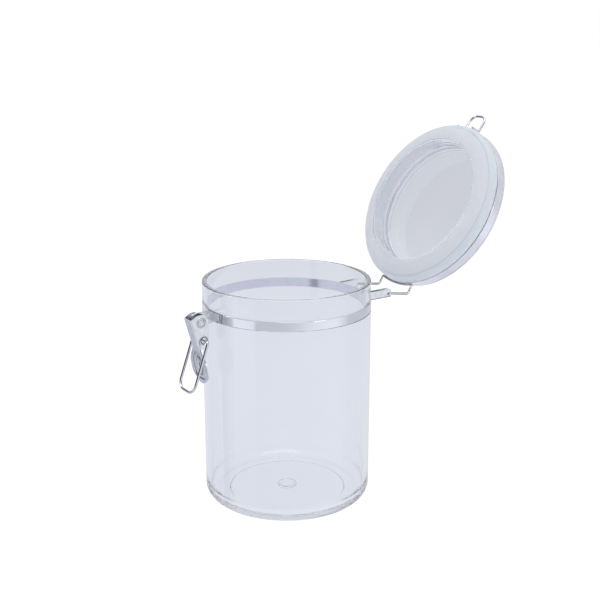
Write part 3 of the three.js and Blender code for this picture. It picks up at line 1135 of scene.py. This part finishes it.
def build_world():
    """White to the camera, cool grey through plastic, panels and dark gaps in reflections."""
    world = bpy.data.worlds.new("studio")
    bpy.context.scene.world = world
    world.use_nodes = True
    tree = world.node_tree
    tree.nodes.clear()
    out = tree.nodes.new("ShaderNodeOutputWorld")
    coords = tree.nodes.new("ShaderNodeTexCoord")
    split = tree.nodes.new("ShaderNodeSeparateXYZ")
    tree.links.new(coords.outputs["Generated"], split.inputs[0])
    x, y, z = split.outputs
    turn = math_node(tree, "ARCTAN2", y, x)
    turn = math_node(tree, "DIVIDE", turn, TAU)
    turn = math_node(tree, "ADD", turn, 0.5)

    def at(degrees):
        return degrees / 360 + 0.5

    low = ramp_node(
        tree,
        turn,
        [
            (0.0, 0.78),
            (at(-150), 0.9),
            (at(-134), 0.95),
            (at(-132), 0.10),
            (at(-122), 0.12),
            (at(-120), 0.55),
            (at(-112), 0.6),
            (at(-109), 0.98),
            (at(-77), 0.98),
            (at(-75), 0.66),
            (at(-30), 0.72),
            (at(10), 0.98),
            (at(40), 1.0),
            (at(60), 0.66),
            (at(140), 0.7),
            (at(160), 0.78),
            (1.0, 0.78),
        ],
    )
    high = ramp_node(
        tree,
        turn,
        [
            (0.0, 0.80),
            (at(-178), 0.80),
            (at(-165), 0.02),
            (at(-52), 0.02),
            (at(-40), 0.80),
            (1.0, 0.80),
        ],
    )
    above = ramp_node(tree, z, [(0.0, 0.0), (0.02, 0.0), (0.07, 1.0), (1.0, 1.0)])
    sides = mix_colour(tree, above, low, high)
    down = math_node(tree, "MULTIPLY", z, -1.0)
    ground = ramp_node(tree, down, [(0.0, 0.0), (0.42, 0.0), (0.6, 1.0), (1.0, 1.0)])
    sides = mix_colour(tree, ground, sides, (0.84, 0.86, 0.91))
    roof = ramp_node(tree, z, [(0.0, 0.0), (0.62, 0.0), (0.74, 1.0), (1.0, 1.0)])
    mirrored = mix_colour(tree, roof, sides, (1.25, 1.27, 1.32))
    for direction, radius, colour in FLAGS:
        dot = add(tree, "ShaderNodeVectorMath", operation="DOT_PRODUCT")
        tree.links.new(coords.outputs["Generated"], dot.inputs[0])
        dot.inputs[1].default_value = Vector(direction).normalized()
        edge = math.cos(math.radians(radius))
        inner = math.cos(math.radians(radius * 0.8))
        cover = ranged(tree, dot.outputs["Value"], 0.0, 1.0, edge, inner)
        mirrored = mix_colour(tree, cover, mirrored, colour)

    glossy = tree.nodes.new("ShaderNodeBackground")
    tree.links.new(mirrored, glossy.inputs["Color"])
    rays = tree.nodes.new("ShaderNodeLightPath")
    through = tree.nodes.new("ShaderNodeBackground")
    through.inputs["Color"].default_value = (*STUDIO_FAR, 1)
    tree.links.new(scattered_strength(tree, rays), through.inputs["Strength"])
    white = tree.nodes.new("ShaderNodeBackground")
    white.inputs["Color"].default_value = (1, 1, 1, 1)
    first = tree.nodes.new("ShaderNodeMixShader")
    # Cycles counts a ray through clear plastic as glossy too, so that part is taken away.
    shiny, passed = rays.outputs["Is Glossy Ray"], rays.outputs["Is Transmission Ray"]
    mirror = math_node(tree, "SUBTRACT", shiny, passed, True)
    tree.links.new(mirror, first.inputs[0])
    tree.links.new(through.outputs[0], first.inputs[1])
    tree.links.new(glossy.outputs[0], first.inputs[2])
    second = tree.nodes.new("ShaderNodeMixShader")
    tree.links.new(rays.outputs["Is Camera Ray"], second.inputs[0])
    tree.links.new(first.outputs[0], second.inputs[1])
    tree.links.new(white.outputs[0], second.inputs[2])
    tree.links.new(second.outputs[0], out.inputs[0])


build_world()

CAMERA_AZIMUTH = math.radians(55.97)
CAMERA_ELEVATION = math.radians(15.62)
CAMERA_DISTANCE = 0.78695
FOCAL_IN_FRAMES = 1066.2 / 600


def build_camera():
    a, e = CAMERA_AZIMUTH, CAMERA_ELEVATION
    back = Vector((math.sin(a) * math.cos(e), -math.cos(a) * math.cos(e), math.sin(e)))
    right = Vector((math.cos(a), math.sin(a), 0))
    up = back.cross(right)
    target = right * 0.0099 + Vector((0, 0, 0.15102))
    data = bpy.data.cameras.new("camera")
    data.sensor_width = 36
    data.lens = 36 * FOCAL_IN_FRAMES
    data.clip_start, data.clip_end = 0.01, 40
    cam = bpy.data.objects.new("camera", data)
    rotation = Matrix((right, up, back)).transposed()
    cam.matrix_world = Matrix.Translation(target + back * CAMERA_DISTANCE) @ rotation.to_4x4()
    bpy.context.scene.collection.objects.link(cam)
    bpy.context.scene.camera = cam


build_camera()
scene = bpy.context.scene
scene.view_settings.view_transform = "Standard"
scene.view_settings.look = "None"
# Light crosses many clear walls at the jar's edges, and goes dark there with fewer bounces.
scene.cycles.max_bounces = scene.cycles.transmission_bounces = scene.cycles.glossy_bounces = 40
